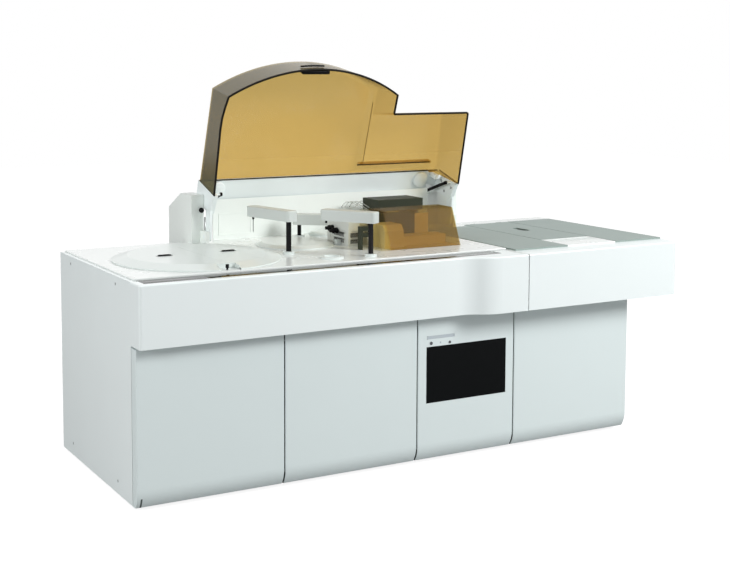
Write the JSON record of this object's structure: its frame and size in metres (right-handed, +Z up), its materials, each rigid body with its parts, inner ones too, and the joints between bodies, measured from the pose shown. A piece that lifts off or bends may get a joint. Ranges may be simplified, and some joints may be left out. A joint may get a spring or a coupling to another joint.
{
  "type": "immunoassay_analyzer",
  "caption": "Floor-standing immunoassay analyzer with a tinted lifting hood, covered reagent carousel, transfer arms, cabinet doors and a screen.",
  "frame": {"origin": "bottom centre of the bounding box, on the floor under the feet", "axes": "+Z up; +X along the front from the left end to the right; -Y towards the operator at the front"},
  "size_m": [2.653, 1.244, 1.7397],
  "materials": {
    "white_panel": "satin",
    "pale_column": "satin",
    "frame_steel": "satin",
    "zinc": "brushed",
    "dark_rubber": "matt",
    "smoky_gloss": "gloss",
    "screen_glass": "gloss",
    "lamp_strip": "gloss",
    "dark_button": "satin",
    "well_plastic": "satin",
    "bottle_plastic": "satin",
    "cover_plastic": "satin",
    "module_plastic": "satin",
    "steel": "polished",
    "dark_housing": "satin",
    "amber_tint": "gloss",
    "brown_tint": "gloss",
    "gold_panel": "gloss",
    "grey_top": "satin"
  },
  "bodies": {
    "cabinet": {"arm_bushes": "well_plastic", "arm_guides": "zinc", "back_wall": "pale_column", "base_frame": "frame_steel", "cuvette_loader": "gold_panel", "deck_plate": "white_panel", "door_hinges": "zinc", "drive_motors": "dark_housing", "electronics": "dark_housing", "fascia_end": "white_panel", "fascia_main": "white_panel", "fluid_tank": "bottle_plastic", "front_ledge": "smoky_gloss", "gripper_housing": "dark_housing", "hinge_columns": "pale_column", "keypad_panel": "white_panel", "left_side_panel": "white_panel", "levelling_feet": "dark_rubber", "loader_cover": "brown_tint", "lock_knob": "dark_rubber", "overhang_panel": "white_panel", "panel_screws": "zinc", "reaction_cover": "cover_plastic", "reaction_well": "well_plastic", "reader_module": "module_plastic", "reagent_cover_left": "cover_plastic", "reagent_cover_right": "cover_plastic", "reagent_well": "well_plastic", "rear_panel": "white_panel", "right_deck": "white_panel", "right_side_panel": "white_panel", "service_plates": "grey_top", "wash_stations": "cover_plastic", "waste_bin": "dark_housing"},
    "door_left": {"door_left": "white_panel"},
    "door_middle": {"door_middle": "white_panel"},
    "door_screen": {"door_screen": "white_panel", "screen_panel": "screen_glass", "indicator_lights": "lamp_strip"},
    "door_right": {"door_right": "white_panel"},
    "power_button": {"power_button": "dark_button"},
    "standby_button": {"standby_button": "dark_button"},
    "reagent_rotor": {"reagent_tray": "well_plastic", "reagent_bottles": "bottle_plastic"},
    "reaction_rotor": {"reaction_rotor": "well_plastic"},
    "carriage_a": {"arm_a_carriage": "zinc"},
    "arm_a": {"arm_a_cover": "module_plastic", "arm_a_shaft": "steel"},
    "carriage_c": {"arm_c_carriage": "zinc"},
    "arm_c": {"arm_c_cover": "module_plastic", "arm_c_shaft": "steel"},
    "arm_b": {"arm_b_cover": "module_plastic", "arm_b_shaft": "steel"},
    "lid": {"lid_frame": "white_panel", "lid_hood": "amber_tint"},
    "left_rod": {"left_stay_rod": "steel"},
    "left_tube": {"left_stay_tube": "steel"},
    "right_rod": {"right_stay_rod": "steel"},
    "right_tube": {"right_stay_tube": "steel"},
    "hatch": {"service_hatch": "grey_top"}
  },
  "joints": [
    {"name": "door_left_hinge", "type": "hinge", "parent": "cabinet", "child": "door_left", "pos_m": [-0.7005, -0.509, 0.336], "axis": [0, 0, 1], "range_deg": [0, 90]},
    {"name": "door_middle_hinge", "type": "hinge", "parent": "cabinet", "child": "door_middle", "pos_m": [-0.6785, -0.509, 0.336], "axis": [0, 0, -1], "range_deg": [0, 90]},
    {"name": "door_screen_hinge", "type": "hinge", "parent": "cabinet", "child": "door_screen", "pos_m": [-0.0415, -0.509, 0.336], "axis": [0, 0, -1], "range_deg": [0, 90]},
    {"name": "door_right_hinge", "type": "hinge", "parent": "cabinet", "child": "door_right", "pos_m": [1.1085, -0.509, 0.336], "axis": [0, 0, 1], "range_deg": [0, 90]},
    {"name": "power_button_press", "type": "slide", "parent": "door_screen", "child": "power_button", "axis": [0, 1, 0], "range_m": [0, 0.001], "stiffness_N_per_m": 400},
    {"name": "standby_button_press", "type": "slide", "parent": "door_screen", "child": "standby_button", "axis": [0, 1, 0], "range_m": [0, 0.001], "stiffness_N_per_m": 400},
    {"name": "reagent_spin", "type": "hinge", "parent": "cabinet", "child": "reagent_rotor", "pos_m": [-0.8845, -0.078, 0.85], "axis": [0, 0, 1], "continuous": true},
    {"name": "reaction_spin", "type": "hinge", "parent": "cabinet", "child": "reaction_rotor", "pos_m": [-0.3265, 0.092, 0.85], "axis": [0, 0, 1], "continuous": true},
    {"name": "arm_a_lift", "type": "slide", "parent": "cabinet", "child": "carriage_a", "axis": [0, 0, 1], "range_m": [-0.04, 0]},
    {"name": "arm_a_swing", "type": "hinge", "parent": "carriage_a", "child": "arm_a", "pos_m": [-0.4805, -0.146, 0.72], "axis": [0, 0, 1], "range_deg": [-50, 20]},
    {"name": "arm_c_lift", "type": "slide", "parent": "cabinet", "child": "carriage_c", "axis": [0, 0, 1], "range_m": [-0.08, 0]},
    {"name": "arm_c_swing", "type": "hinge", "parent": "carriage_c", "child": "arm_c", "pos_m": [-0.2005, -0.372, 0.72], "axis": [0, 0, 1], "range_deg": [-30, 40]},
    {"name": "arm_b_swing", "type": "hinge", "parent": "cabinet", "child": "arm_b", "pos_m": [-0.1965, 0.297, 0.88], "axis": [0, 0, 1], "range_deg": [-25, 25]},
    {"name": "lid_hinge", "type": "hinge", "parent": "cabinet", "child": "lid", "pos_m": [0.0035, 0.307, 0.939], "axis": [1, 0, 0], "range_deg": [0, 71]},
    {"name": "left_stay_turn", "type": "hinge", "parent": "cabinet", "child": "left_rod", "pos_m": [-0.6135, 0.497, 1.064], "axis": [1, 0, 0], "range_deg": [0, 31.68]},
    {"name": "left_stay_slide", "type": "slide", "parent": "left_rod", "child": "left_tube", "axis": [0, -0.9539, 0.3001], "range_m": [0, 0.163]},
    {"name": "right_stay_turn", "type": "hinge", "parent": "cabinet", "child": "right_rod", "pos_m": [0.6205, 0.497, 1.064], "axis": [1, 0, 0], "range_deg": [0, 31.68]},
    {"name": "right_stay_slide", "type": "slide", "parent": "right_rod", "child": "right_tube", "axis": [0, -0.9539, 0.3001], "range_m": [0, 0.163]},
    {"name": "hatch_hinge", "type": "hinge", "parent": "cabinet", "child": "hatch", "pos_m": [0.9055, 0.322, 0.904], "axis": [-1, 0, 0], "range_deg": [0, 80]}
  ],
  "couplings": [
    {"joint": "left_stay_turn", "follows": "lid_hinge", "ratio": 0.43922},
    {"joint": "left_stay_slide", "follows": "lid_hinge", "m_per_rad": 0.13071},
    {"joint": "right_stay_turn", "follows": "lid_hinge", "ratio": 0.43922},
    {"joint": "right_stay_slide", "follows": "lid_hinge", "m_per_rad": 0.13071}
  ]
}
